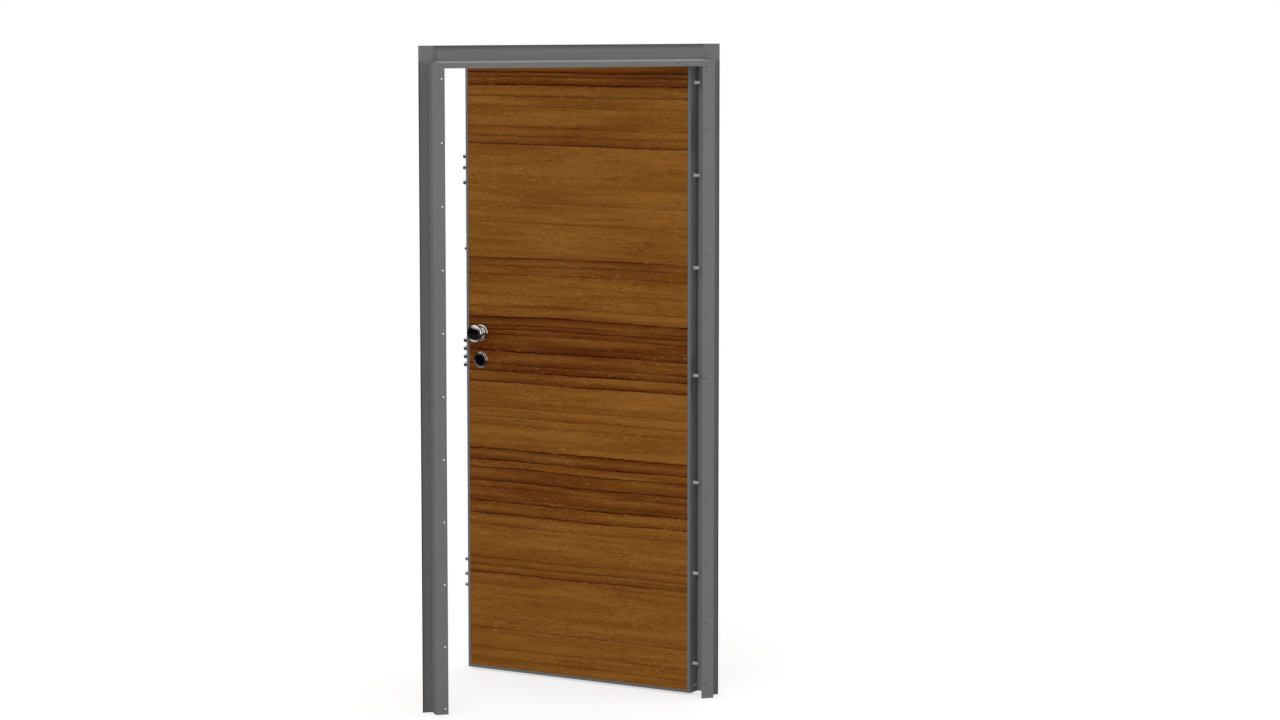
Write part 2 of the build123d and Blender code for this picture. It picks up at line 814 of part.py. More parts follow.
# Inner furniture: a lever handle and a thumbturn, each on a round rose
for name, z in (("handle_rose", knob_z), ("thumbturn_rose", cylinder_z)):
    with BuildPart() as rose:
        with BuildSketch(front_plane(inner_face_y)):
            with Locations((furniture_x, z)):
                Circle(inner_rose_radius)
        extrude(amount=-inner_rose_thickness)
        fillet(rose.faces().sort_by(Axis.Y)[-1].edges(), inner_rose_thickness / 3)
    save_on_leaf(rose, name)

rose_face_y = inner_face_y + inner_rose_thickness

with BuildPart() as lever_handle:
    lever_y = rose_face_y + lever_neck_length
    rod((furniture_x, rose_face_y, knob_z), lever_neck_length, lever_neck_radius, (0, 1, 0))
    with BuildSketch(front_plane(lever_y - lever_thickness)):
        with Locations((furniture_x + lever_length / 2 - lever_height / 2, knob_z)):
            SlotOverall(lever_length, lever_height)
    extrude(amount=-lever_thickness)
    fillet(lever_handle.faces().sort_by(Axis.Y)[-1].edges(), lever_thickness / 4)
save_on_leaf(lever_handle, "lever_handle")

with BuildPart() as thumbturn:
    rod((furniture_x, rose_face_y, cylinder_z), turn_stem_length, turn_stem_radius, (0, 1, 0))
    with BuildSketch(front_plane(rose_face_y + turn_stem_length)):
        with Locations((furniture_x, cylinder_z)):
            SlotOverall(turn_width, turn_height, rotation=90)
    extrude(amount=-turn_thickness)
    fillet(thumbturn.faces().sort_by(Axis.Y)[-1].edges(), turn_thickness / 4)
save_on_leaf(thumbturn, "thumbturn")
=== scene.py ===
# %% [markdown]
# # A security door that stands open in its steel frame
# The measured door comes from another program as a fixed frame of plain solids. This lesson dresses it:
# paint, veneer, chrome and rubber are built from shader nodes, and the turned and pressed fittings that
# plain solids only stand for are modelled and put in their place.
# The wall runs along X, the street is towards minus Y, Z points up, and all lengths here are metres.

# %% Load the measured door
import json
import math

import bpy
from mathutils import Matrix, Vector


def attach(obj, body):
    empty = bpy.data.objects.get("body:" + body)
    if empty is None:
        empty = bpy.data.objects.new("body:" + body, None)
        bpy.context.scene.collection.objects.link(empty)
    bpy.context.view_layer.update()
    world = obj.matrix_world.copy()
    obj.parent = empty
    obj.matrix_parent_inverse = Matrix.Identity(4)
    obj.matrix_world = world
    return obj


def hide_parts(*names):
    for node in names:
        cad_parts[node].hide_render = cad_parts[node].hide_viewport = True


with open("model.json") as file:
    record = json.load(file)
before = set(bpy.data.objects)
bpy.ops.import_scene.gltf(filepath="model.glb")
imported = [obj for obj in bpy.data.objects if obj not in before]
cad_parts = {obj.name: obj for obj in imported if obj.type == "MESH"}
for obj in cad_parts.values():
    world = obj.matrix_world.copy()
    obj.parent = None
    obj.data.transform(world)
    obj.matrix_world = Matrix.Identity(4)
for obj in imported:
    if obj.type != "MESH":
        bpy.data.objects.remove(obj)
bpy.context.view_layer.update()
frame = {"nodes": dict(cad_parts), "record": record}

nodes = frame["nodes"]

# %% [markdown]
# ## Where things are
# The leaf's fittings are easiest to think of in the closed door, where its face looks straight at the
# street. They could be modelled at an angle, but a closed door has simple numbers. So every piece of the
# leaf is made in the closed door, and one matrix then swings its mesh to where the leaf stands.

# %% Swing from the closed door to the open one
leaf_angle = math.radians(47.47)
hinge_axis = Vector((-0.010, 0.021, 0.0))
swing = Matrix.Rotation(-leaf_angle, 4, "Z")
leaf_turn = Matrix.Translation(hinge_axis) @ swing @ Matrix.Translation(-hinge_axis)
leaf_face_y = -0.0396
panel_face_y = -0.0381
inner_face_y = 0.0184
lock_edge_x = -0.9344
hinge_edge_x = -0.0476
furniture_x = -0.8769
knob_z = 1.176
cylinder_z = 1.082
print("the lock edge stands at", [round(v, 3) for v in leaf_turn @ Vector((lock_edge_x, leaf_face_y, 1.0))])

# %% [markdown]
# ## The camera
# The photograph was taken from the street, a little above the door's top and to its left, from far away.
# A long lens keeps the uprights almost parallel. The place and the turn were worked out from the frame's
# corners, so the camera is written down rather than aimed by hand.

# %% Camera
camera_data = bpy.data.cameras.new("photo_camera")
camera_data.sensor_width = 36.0
camera_data.lens = 98.96
camera_data.clip_end = 200.0
camera = bpy.data.objects.new("photo_camera", camera_data)
camera.location = (-3.57958, -11.02028, 2.43731)
camera.rotation_euler = (math.radians(90 - 6.451), 0.0, math.radians(-16.777))
bpy.context.scene.collection.objects.link(camera)
bpy.context.scene.camera = camera
bpy.context.scene.view_settings.view_transform = "Standard"
print("camera stands", round((camera.location - Vector((-0.49, 0, 1.05))).length, 2), "m from the door")


# %% [markdown]
# ## Small helpers for nodes
# A material could be wired by hand in the shader editor. Written down, each node takes three lines, so
# one helper adds a node, sets its settings and fills its inputs with numbers or links.

# %% Node helpers
WHITE = (1.0, 1.0, 1.0, 1.0)
BLACK = (0.0, 0.0, 0.0, 1.0)


def add_node(tree, kind, inputs=None, **settings):
    """Add one node, set its settings, and give each input a value or a link."""
    node = tree.nodes.new(kind)
    for key, value in settings.items():
        setattr(node, key, value)
    for key, value in (inputs or {}).items():
        if isinstance(value, bpy.types.NodeSocket):
            tree.links.new(value, node.inputs[key])
        else:
            node.inputs[key].default_value = value
    return node


def tone(red, green, blue):
    """A colour as a picture shows it, from 0 to 255, turned into the light that the shader needs."""
    linear = []
    for level in (red, green, blue):
        share = level / 255
        linear.append(share / 12.92 if share <= 0.04045 else ((share + 0.055) / 1.055) ** 2.4)
    return (*linear, 1.0)


def blend_colours(tree, share, first, second, kind="MIX"):
    """Lay the second colour over the first by a share, and return the colour socket."""
    inputs = {0: share, 6: first, 7: second}
    return add_node(tree, "ShaderNodeMix", inputs, data_type="RGBA", blend_type=kind).outputs[2]


def mix_shaders(tree, share, first, second):
    """Go from the first shader node to the second by a share, and return the mixing node."""
    inputs = {0: share, 1: first.outputs[0], 2: second.outputs[0]}
    return add_node(tree, "ShaderNodeMixShader", inputs)


def calc(tree, operation, first, second=0.0, clamp=False):
    """One step of arithmetic on two values."""
    node = add_node(tree, "ShaderNodeMath", {0: first, 1: second}, operation=operation)
    node.use_clamp = clamp
    return node.outputs[0]


def spread_range(tree, value, low, high, out_low=0.0, out_high=1.0):
    """A smooth step of a value from one range to another."""
    inputs = {"Value": value, "From Min": low, "From Max": high, "To Min": out_low, "To Max": out_high}
    return add_node(tree, "ShaderNodeMapRange", inputs, interpolation_type="SMOOTHSTEP").outputs[0]


def tinted(tree, colour, level):
    """A colour made darker or lighter by a level around 1."""
    grey = add_node(tree, "ShaderNodeCombineColor", {0: level, 1: level, 2: level})
    return blend_colours(tree, 1.0, colour, grey.outputs[0], "MULTIPLY")


print("a middle grey of the picture is", round(tone(113, 113, 113)[0], 3), "as light")

# %% [markdown]
# ## Light
# The photograph is a cut-out on pure white, lit so evenly that every open face of the paint has nearly the
# same tone, and only what stands in a corner is darker. Many lamps could do that, but an even sky does it
# best. Bright metal needs something to reflect, though: in the photograph it is black where it faces left
# and pale where it faces right or up, so the sky looks different to reflections than to plain light.

# %% Sky
world = bpy.data.worlds.new("studio")
bpy.context.scene.world = world
world.use_nodes = True
sky = world.node_tree
sky.nodes.clear()
ray = add_node(sky, "ShaderNodeLightPath")
towards = add_node(sky, "ShaderNodeTexCoord").outputs["Generated"]
direction = add_node(sky, "ShaderNodeSeparateXYZ", {0: towards})
sideways = calc(sky, "MULTIPLY", direction.outputs["X"], 0.974)
towards_right = calc(sky, "SUBTRACT", sideways, calc(sky, "MULTIPLY", direction.outputs["Y"], 0.225))
right_share = spread_range(sky, towards_right, 0.08, 0.52, 0.0, 0.95)
overhead = spread_range(sky, direction.outputs["Z"], 0.36, 0.88, 0.0, 0.90)
mirrored = calc(sky, "ADD", calc(sky, "MAXIMUM", right_share, overhead), 0.004)
fill = add_node(sky, "ShaderNodeBackground", {"Color": WHITE, "Strength": 0.78})
mirror = add_node(sky, "ShaderNodeBackground", {"Color": WHITE, "Strength": mirrored})
white = add_node(sky, "ShaderNodeBackground", {"Color": WHITE, "Strength": 1.0})
seen = calc(sky, "ADD", ray.outputs["Is Camera Ray"], ray.outputs["Is Transmission Ray"], clamp=True)
lit = mix_shaders(sky, ray.outputs["Is Glossy Ray"], fill, mirror)
shown = mix_shaders(sky, seen, lit, white)
add_node(sky, "ShaderNodeOutputWorld", {0: shown.outputs[0]})
print("sky of", len(sky.nodes), "nodes")

# %% Soft lamp from the street, high on the left
lamp_data = bpy.data.lights.new("street_lamp", "SUN")
lamp_data.energy = 0.66
lamp_data.angle = math.radians(50)
lamp = bpy.data.objects.new("street_lamp", lamp_data)
lamp.rotation_euler = (math.radians(62), 0.0, math.radians(-20))
lamp.visible_glossy = False
bpy.context.scene.collection.objects.link(lamp)
print("lamp of strength", lamp_data.energy)


# %% [markdown]
# ## The floor
# The door needs something to stand on, or its foot floats. A painted sheet of paper would show its far
# edge against the white, so the floor is white to the camera and keeps only a faint contact shadow, while
# to all other light it is a pale matt sheet, and in mirrors it glows pale only behind the door: a painted
# reflection.

# %% Floor
def select_only(*objects):
    """Select these objects and nothing else."""
    bpy.ops.object.select_all(action="DESELECT")
    for item in objects:
        item.select_set(True)
    bpy.context.view_layer.objects.active = objects[0]


bpy.ops.object.select_all(action="DESELECT")
bpy.ops.mesh.primitive_plane_add(size=14.0, location=(-0.5, 0.0, 0.0))
floor = bpy.context.active_object
floor.name = "floor"
paper = bpy.data.materials.new("white_paper")
paper.use_nodes = True
tree = paper.node_tree
tree.nodes.clear()
ray = add_node(tree, "ShaderNodeLightPath")
fibres = add_node(tree, "ShaderNodeTexNoise", {"Scale": 900.0, "Detail": 2.0})
glow = add_node(tree, "ShaderNodeEmission", {"Color": WHITE, "Strength": 0.60})
pale = spread_range(tree, fibres.outputs["Fac"], 0.3, 0.7, 0.50, 0.54)
bright = add_node(tree, "ShaderNodeBsdfDiffuse", {"Color": pale})
both = add_node(tree, "ShaderNodeAddShader", {0: glow.outputs[0], 1: bright.outputs[0]})
quiet = add_node(tree, "ShaderNodeBsdfDiffuse", {"Color": (0.75, 0.75, 0.75, 1.0)})
on_floor = add_node(tree, "ShaderNodeTexCoord").outputs["Object"]
spot = add_node(tree, "ShaderNodeSeparateXYZ", {0: on_floor}).outputs
room_middle_y = 1.8
behind = calc(tree, "SUBTRACT", spot["Y"], room_middle_y)
beside = add_node(tree, "ShaderNodeCombineXYZ", {0: spot["X"], 1: behind})
away = add_node(tree, "ShaderNodeVectorMath", {0: beside.outputs[0]}, operation="LENGTH").outputs["Value"]
# Painted reflection: in mirrors the floor glows, brightest around a spot behind the door
near_foot = spread_range(tree, away, 2.0, 0.6, 0.01, 0.85)
painted_reflection_glow = add_node(tree, "ShaderNodeEmission", {"Color": WHITE, "Strength": near_foot})
plain = mix_shaders(tree, ray.outputs["Is Camera Ray"], quiet, both)
choice = mix_shaders(tree, ray.outputs["Is Glossy Ray"], plain, painted_reflection_glow)
add_node(tree, "ShaderNodeOutputMaterial", {0: choice.outputs[0]})
floor.data.materials.append(paper)
print("floor", round(floor.dimensions.x), "m wide")


# %% [markdown]
# ## A node group for powder coat
# Powder coat is dust that was melted on: seen close it has a fine orange-peel skin and a slight cloudiness.
# A flat grey would look like card. The same coat is on the frame and the leaf in two tones, so its skin is
# a group with the tone as an input, which both materials use.

# %% Group: powder coat
def new_group(name, inputs, outputs):
    """A shader node group with named sockets. An input is (name, kind, start value)."""
    group = bpy.data.node_groups.new(name, "ShaderNodeTree")
    for label, kind, start in inputs:
        socket = group.interface.new_socket(label, in_out="INPUT", socket_type=kind)
        if start is not None:
            socket.default_value = start
    for label, kind in outputs:
        group.interface.new_socket(label, in_out="OUTPUT", socket_type=kind)
    source = group.nodes.new("NodeGroupInput")
    target = group.nodes.new("NodeGroupOutput")
    return group, source.outputs, target


FLOAT = "NodeSocketFloat"
COLOUR = "NodeSocketColor"
VECTOR = "NodeSocketVector"

powder_coat, given, result = new_group(
    "powder_coat",
    [
        ("Place", VECTOR, None), ("Tone", COLOUR, tone(113, 113, 113)),
        ("Grain", FLOAT, 900.0), ("Cloud", FLOAT, 0.05),
    ],
    [("Colour", COLOUR), ("Roughness", FLOAT), ("Height", FLOAT)],
)
skin = {"Vector": given["Place"], "Scale": given["Grain"], "Detail": 2.0}
peel = add_node(powder_coat, "ShaderNodeTexNoise", skin).outputs["Fac"]
cloud = add_node(powder_coat, "ShaderNodeTexNoise", {"Vector": given["Place"], "Scale": 7.0, "Detail": 4.0})
speck = spread_range(powder_coat, peel, 0.3, 0.7, 0.96, 1.04)
drift = spread_range(powder_coat, cloud.outputs["Fac"], 0.3, 0.7, 0.0, 1.0)
drift = calc(powder_coat, "SUBTRACT", 1.0, calc(powder_coat, "MULTIPLY", drift, given["Cloud"]))
level = calc(powder_coat, "MULTIPLY", speck, drift)
powder_coat.links.new(tinted(powder_coat, given["Tone"], level), result.inputs["Colour"])
powder_coat.links.new(spread_range(powder_coat, peel, 0.3, 0.7, 0.40, 0.52), result.inputs["Roughness"])
powder_coat.links.new(peel, result.inputs["Height"])
print("group powder_coat has", len(powder_coat.nodes), "nodes")


# %% [markdown]
# ## Paint on the frame and on the leaf
# The frame's wall flanges are painted darker towards their outer edges, below and between the corner ears,
# as painted shade, and paler towards the web. The web's outer face gets painted light, the head's upper fold
# a painted highlight, and the seams beside the ears painted shade and light. Masks worked out from the place
# on the frame change the coat there, so the painted shade and light stay on the steel from every side.

# %% Material: frame paint
def new_material(name):
    """A material with an empty tree, its Principled shader and the place on the object."""
    material = bpy.data.materials.new(name)
    material.use_nodes = True
    tree = material.node_tree
    tree.nodes.clear()
    shader = add_node(tree, "ShaderNodeBsdfPrincipled")
    add_node(tree, "ShaderNodeOutputMaterial", {0: shader.outputs[0]})
    place = add_node(tree, "ShaderNodeTexCoord").outputs["Object"]
    return material, tree, shader, place


def add_bump(tree, shader, height, strength, distance):
    """Raise the surface by a height, as a normal only."""
    bump = add_node(tree, "ShaderNodeBump", {"Height": height, "Strength": strength, "Distance": distance})
    tree.links.new(bump.outputs[0], shader.inputs["Normal"])


def add_group(tree, group, inputs):
    """Place a node group with its own values."""
    return add_node(tree, "ShaderNodeGroup", inputs, node_tree=group)


doorway_middle_x = -0.491
half_frame = 0.507
half_wall_opening = 0.475
frame_sheet = 0.002
frame_top_z = 2.172
web_top_z = 2.120
seam_middle = 0.4533

frame_paint, tree, shader, place = new_material("frame_paint")
coat = add_group(tree, powder_coat, {"Place": place, "Tone": tone(113, 113, 113), "Cloud": 0.03})
xyz = add_node(tree, "ShaderNodeSeparateXYZ", {0: place}).outputs
from_middle = calc(tree, "SUBTRACT", xyz["X"], doorway_middle_x)
across = calc(tree, "ABSOLUTE", from_middle)
on_right = calc(tree, "GREATER_THAN", from_middle, 0.0)
below_head = calc(tree, "LESS_THAN", xyz["Z"], web_top_z)
on_flange = calc(tree, "GREATER_THAN", xyz["Y"], -2 * frame_sheet)
between_ears = calc(tree, "LESS_THAN", across, seam_middle)


def all_of(*masks):
    """Where every mask holds."""
    whole = masks[0]
    for mask in masks[1:]:
        whole = calc(tree, "MULTIPLY", whole, mask)
    return whole


# Painted shade towards the outer edges of the wall flanges, and along the head's top between the ears
from_side = calc(tree, "SUBTRACT", half_frame, across)
from_top = calc(tree, "SUBTRACT", frame_top_z, xyz["Z"])
side_edge = all_of(spread_range(tree, from_side, 0.0, 0.008, 0.82, 0.0), below_head)
side_wide_shade = all_of(spread_range(tree, from_side, 0.0, 0.034, 0.28, 0.02), below_head)
top_edge = all_of(spread_range(tree, from_top, 0.0, 0.020, 0.55, 0.0), between_ears)
painted_shade_share = calc(tree, "MAXIMUM", calc(tree, "MAXIMUM", side_edge, top_edge), side_wide_shade)
painted = blend_colours(tree, all_of(painted_shade_share, on_flange), coat.outputs["Colour"], BLACK)

# Painted light on the outer face of each web, which the wall flange shades
beside_web = calc(tree, "ABSOLUTE", calc(tree, "SUBTRACT", across, half_wall_opening - frame_sheet / 2))
web_painted_light = all_of(calc(tree, "LESS_THAN", beside_web, 0.6 * frame_sheet), below_head)
web_painted_light = all_of(web_painted_light, spread_range(tree, xyz["Y"], -0.050, -0.040, 0.0, 0.22))
painted = blend_colours(tree, web_painted_light, painted, tone(160, 160, 160))

# A painted highlight on the fold at the top of the head's web, and painted shade and painted light at the
# seams beside the ears
from_fold = calc(tree, "ABSOLUTE", calc(tree, "SUBTRACT", xyz["Z"], web_top_z))
fold_painted_highlight = all_of(spread_range(tree, from_fold, 0.0016, 0.0030, 0.60, 0.0), between_ears)
painted = blend_colours(tree, fold_painted_highlight, painted, tone(172, 172, 172))
# Painted shade around each seam beside the ears, and a painted light line along its middle, stronger on the
# right
from_seam = calc(tree, "ABSOLUTE", calc(tree, "SUBTRACT", across, seam_middle))
above_web = calc(tree, "SUBTRACT", 1.0, below_head)
seam_painted_shade = all_of(spread_range(tree, from_seam, 0.002, 0.010, 0.30, 0.0), above_web, on_flange)
painted = blend_colours(tree, seam_painted_shade, painted, BLACK)
seam_painted_light = all_of(spread_range(tree, from_seam, 0.0014, 0.0034, 0.50, 0.0), above_web, on_flange)
seam_painted_light = all_of(seam_painted_light, spread_range(tree, on_right, 0.0, 1.0, 0.35, 1.0))
painted = blend_colours(tree, seam_painted_light, painted, tone(150, 150, 150))
tree.links.new(painted, shader.inputs["Base Color"])
tree.links.new(coat.outputs["Roughness"], shader.inputs["Roughness"])
add_bump(tree, shader, coat.outputs["Height"], 0.25, 0.0002)
print("frame paint has", len(tree.nodes), "nodes")


# %% Materials: paint on the leaf and on the hinges
def coated(name, colour, lip_painted_light_colour, cloud):
    """A powder coat, with another tone on the lip of the leaf's back sheet beside the hinges: painted light
    on a lip that the frame shades.
    """
    material, tree, shader, place = new_material(name)
    shift = leaf_turn.inverted().to_translation()
    turned_back = {"Vector": place, "Location": shift, "Rotation": (0.0, 0.0, leaf_angle)}
    closed_place = add_node(tree, "ShaderNodeMapping", turned_back).outputs[0]
    closed_x = add_node(tree, "ShaderNodeSeparateXYZ", {0: closed_place}).outputs["X"]
    # Painted light on the lip of the back sheet, which lies in the frame's shade
    lip_painted_light_share = spread_range(tree, closed_x, hinge_edge_x, hinge_edge_x + 0.002)
    base = blend_colours(tree, lip_painted_light_share, colour, lip_painted_light_colour)
    coat = add_group(tree, powder_coat, {"Place": place, "Tone": base, "Cloud": cloud})
    tree.links.new(coat.outputs["Colour"], shader.inputs["Base Color"])
    tree.links.new(coat.outputs["Roughness"], shader.inputs["Roughness"])
    add_bump(tree, shader, coat.outputs["Height"], 0.25, 0.0002)
    return material


leaf_paint = coated("leaf_paint", tone(110, 110, 111), tone(146, 146, 147), 0.04)
hinge_paint = coated("hinge_paint", tone(102, 102, 103), tone(102, 102, 103), 0.06)
print("paint for the leaf and for the hinges")

# %% [markdown]
# ## Veneer
# The face is a thin sheet of stained wood whose grain runs across the door. The boards it was sliced from
# give it their growth lines: sharp on one side, where summer wood ends, and soft on the other. Between
# them lie broad warm and dark zones, fine streaks and short dark pores. A picture of wood could be laid
# on, but lines made of nodes stay sharp at any size. One group draws one line, and a loop places it at
# every height where the face has one.

# %% Group: one growth line
growth_line, given, result = new_group(
    "growth_line",
    [
        ("Height", FLOAT, 0.0), ("Centre", FLOAT, 0.0), ("Fade below", FLOAT, 0.003),
        ("Fade above", FLOAT, 0.012), ("Strength", FLOAT, 1.0),
    ],
    [("Fade", FLOAT), ("Core", FLOAT)],
)
core_half_width = 0.0032
offset = calc(growth_line, "SUBTRACT", given["Height"], given["Centre"])
down = calc(growth_line, "DIVIDE", offset, given["Fade below"])
below = calc(growth_line, "ADD", 1.0, down, clamp=True)
up = calc(growth_line, "DIVIDE", offset, given["Fade above"])
above = calc(growth_line, "SUBTRACT", 1.0, up, clamp=True)
fade = calc(growth_line, "MULTIPLY", calc(growth_line, "MULTIPLY", below, above), given["Strength"])
from_core = calc(growth_line, "DIVIDE", calc(growth_line, "ABSOLUTE", offset), core_half_width)
thin = calc(growth_line, "SUBTRACT", 1.0, from_core, clamp=True)
growth_line.links.new(fade, result.inputs["Fade"])
growth_line.links.new(calc(growth_line, "MULTIPLY", thin, given["Strength"]), result.inputs["Core"])
print("group growth_line has", len(growth_line.nodes), "nodes")

# %% Where the lines and zones lie, as heights above the floor
growth_lines = [
    (0.045, 0.003, 0.012, 0.25), (0.081, 0.003, 0.014, 0.25), (0.150, 0.003, 0.014, 0.30),
    (0.348, 0.003, 0.018, 0.60), (0.375, 0.003, 0.012, 0.35), (0.402, 0.012, 0.003, 0.35),
    (0.513, 0.003, 0.012, 0.30), (0.552, 0.003, 0.020, 0.80), (0.594, 0.003, 0.018, 0.85),
    (0.609, 0.003, 0.012, 0.50), (0.642, 0.003, 0.012, 0.40), (0.666, 0.003, 0.018, 0.80),
    (0.711, 0.014, 0.003, 0.65), (0.738, 0.003, 0.022, 0.95), (0.777, 0.020, 0.003, 0.90),
    (0.861, 0.003, 0.012, 0.25), (0.888, 0.003, 0.012, 0.30), (0.921, 0.003, 0.012, 0.30),
    (1.011, 0.003, 0.020, 0.85), (1.050, 0.004, 0.024, 1.00), (1.074, 0.003, 0.014, 0.60),
    (1.119, 0.003, 0.024, 0.95), (1.140, 0.003, 0.012, 0.40), (1.176, 0.003, 0.016, 0.55),
    (1.194, 0.003, 0.018, 0.70), (1.209, 0.012, 0.003, 0.50), (1.236, 0.022, 0.003, 1.00),
    (1.272, 0.003, 0.012, 0.30), (1.383, 0.003, 0.014, 0.40), (1.413, 0.003, 0.014, 0.40),
    (1.440, 0.018, 0.003, 0.65), (1.560, 0.003, 0.012, 0.22), (1.626, 0.003, 0.012, 0.22),
    (1.824, 0.003, 0.016, 0.70), (1.851, 0.003, 0.012, 0.35), (1.881, 0.003, 0.012, 0.35),
    (1.953, 0.003, 0.012, 0.25), (1.989, 0.003, 0.014, 0.40), (2.028, 0.003, 0.020, 0.95),
    (2.055, 0.003, 0.014, 0.55), (2.070, 0.003, 0.016, 0.85),
]
dark_zones = [
    (1.135, 0.150, 0.85), (0.660, 0.150, 0.58), (1.410, 0.070, 0.35), (1.845, 0.060, 0.25),
    (2.055, 0.060, 0.60), (0.370, 0.060, 0.30),
]
print(len(growth_lines), "growth lines and", len(dark_zones), "zones")


# %% Material: veneer
def streaks(tree, place, along, up, detail=3.0, roughness=0.5):
    """Noise drawn out along the grain, finer upwards than along."""
    mapping = add_node(tree, "ShaderNodeMapping", {"Vector": place, "Scale": (along, along, up)})
    inputs = {"Vector": mapping.outputs[0], "Scale": 1.0, "Detail": detail, "Roughness": roughness}
    return add_node(tree, "ShaderNodeTexNoise", inputs).outputs["Fac"]


veneer, tree, shader, place = new_material("veneer")
turn = add_node(tree, "ShaderNodeMapping", {"Vector": place, "Rotation": (0.0, 0.0, leaf_angle)})
grain = turn.outputs[0]
height = add_node(tree, "ShaderNodeSeparateXYZ", {0: grain}).outputs["Z"]
slow_wave = calc(tree, "MULTIPLY", calc(tree, "SUBTRACT", streaks(tree, grain, 1.6, 3.0, 1.0), 0.5), 0.022)
quick_wave = calc(tree, "MULTIPLY", calc(tree, "SUBTRACT", streaks(tree, grain, 26.0, 60.0, 3.0), 0.5), 0.006)
wavy = calc(tree, "ADD", height, calc(tree, "ADD", slow_wave, quick_wave))


def strongest(values):
    """At each point, the largest of several values."""
    top = values[0]
    for value in values[1:]:
        top = calc(tree, "MAXIMUM", top, value)
    return top


def draw_line(centre, fade_below, fade_above, strength):
    """One growth line or zone at a height above the floor."""
    inputs = {
        "Height": wavy, "Centre": centre, "Fade below": fade_below, "Fade above": fade_above,
        "Strength": strength,
    }
    return add_group(tree, growth_line, inputs).outputs


lines = [draw_line(*line) for line in growth_lines]
fades = strongest([line["Fade"] for line in lines])
cores = strongest([line["Core"] for line in lines])
zones = strongest([draw_line(centre, half, half, strength)["Fade"] for centre, half, strength in dark_zones])
uneven = spread_range(tree, streaks(tree, grain, 7.0, 40.0, 3.0), 0.30, 0.60, 0.45, 1.15)
cores = calc(tree, "MULTIPLY", cores, uneven)
fades = calc(tree, "MULTIPLY", fades, spread_range(tree, uneven, 0.45, 1.15, 0.75, 1.0))
fine = streaks(tree, grain, 20.0, 380.0, 4.0, 0.72)
faint = streaks(tree, grain, 2.0, 110.0, 2.0)
broad = streaks(tree, grain, 2.5, 40.0, 3.0)
figure = streaks(tree, grain, 60.0, 240.0, 2.0)
pores = streaks(tree, grain, 46.0, 360.0, 2.0)
pore_zone = spread_range(tree, streaks(tree, grain, 5.0, 14.0, 2.0), 0.40, 0.62)
dark_pores = calc(tree, "MULTIPLY", spread_range(tree, pores, 0.60, 0.70), pore_zone)
light_pores = calc(tree, "MULTIPLY", spread_range(tree, pores, 0.36, 0.28), pore_zone)
zone_strength = spread_range(tree, broad, 0.2, 0.75, 1.6, 0.6)

# From the wood's ground tone up: a share and the colour that is laid on by it
layers = [
    (calc(tree, "MULTIPLY", zones, zone_strength, clamp=True), tone(98, 43, 6)),
    (spread_range(tree, faint, 0.60, 0.70, 0.0, 0.40), tone(101, 53, 8)),
    (spread_range(tree, fine, 0.53, 0.68, 0.0, 0.45), tone(172, 124, 62)),
    (spread_range(tree, fine, 0.47, 0.30, 0.0, 0.48), tone(84, 40, 3)),
    (spread_range(tree, figure, 0.35, 0.65, 0.0, 0.22), tone(100, 54, 9)),
    (calc(tree, "MULTIPLY", fades, 0.92, clamp=True), tone(80, 28, 2)),
    (calc(tree, "MULTIPLY", cores, 1.1, clamp=True), tone(52, 11, 0)),
    (calc(tree, "MULTIPLY", dark_pores, 0.60), tone(64, 26, 3)),
    (calc(tree, "MULTIPLY", light_pores, 0.45), tone(180, 132, 70)),
]
colour = blend_colours(tree, spread_range(tree, broad, 0.32, 0.68), tone(130, 77, 22), tone(148, 96, 36))
for share, laid_on in layers:
    colour = blend_colours(tree, share, colour, laid_on)
tree.links.new(colour, shader.inputs["Base Color"])
tree.links.new(spread_range(tree, fine, 0.3, 0.7, 0.66, 0.52), shader.inputs["Roughness"])
shader.inputs["Specular IOR Level"].default_value = 0.05
relief = calc(tree, "SUBTRACT", fine, calc(tree, "MULTIPLY", dark_pores, 0.6))
add_bump(tree, shader, relief, 0.35, 0.0004)
print("veneer has", len(tree.nodes), "nodes")

# %% [markdown]
# ## Metals
# Bare steel and the faceplates are ground along one direction, which draws every highlight out across the
# scratches. Chrome is nearly a mirror, and only the finest scratches tell it from glass. A material of its
# own for each would repeat the same nodes, so one group makes the scratches and faint stains, and the
# direction and the range of roughness are its inputs.

# %% Group: ground metal
ground_metal, given, result = new_group(
    "ground_metal",
    [
        ("Place", VECTOR, None), ("Along", VECTOR, (8.0, 8.0, 600.0)),
        ("Smooth", FLOAT, 0.22), ("Rough", FLOAT, 0.38),
    ],
    [("Tone", FLOAT), ("Roughness", FLOAT), ("Height", FLOAT)],
)
drawn = add_node(ground_metal, "ShaderNodeMapping", {"Vector": given["Place"], "Scale": given["Along"]})
scratches = {"Vector": drawn.outputs[0], "Scale": 1.0, "Detail": 4.0}
scratch = add_node(ground_metal, "ShaderNodeTexNoise", scratches).outputs["Fac"]
stains = {"Vector": given["Place"], "Scale": 30.0, "Detail": 3.0}
stain = add_node(ground_metal, "ShaderNodeTexNoise", stains).outputs["Fac"]
limits = {"From Min": 0.3, "From Max": 0.7, "To Min": given["Smooth"], "To Max": given["Rough"]}
rough = add_node(ground_metal, "ShaderNodeMapRange", {"Value": scratch, **limits})
scratch_level = spread_range(ground_metal, scratch, 0.3, 0.7, 0.90, 1.06)
stain_level = spread_range(ground_metal, stain, 0.3, 0.7, 0.93, 1.03)
level = calc(ground_metal, "MULTIPLY", scratch_level, stain_level)
ground_metal.links.new(level, result.inputs["Tone"])
ground_metal.links.new(rough.outputs[0], result.inputs["Roughness"])
ground_metal.links.new(scratch, result.inputs["Height"])
print("group ground_metal has", len(ground_metal.nodes), "nodes")


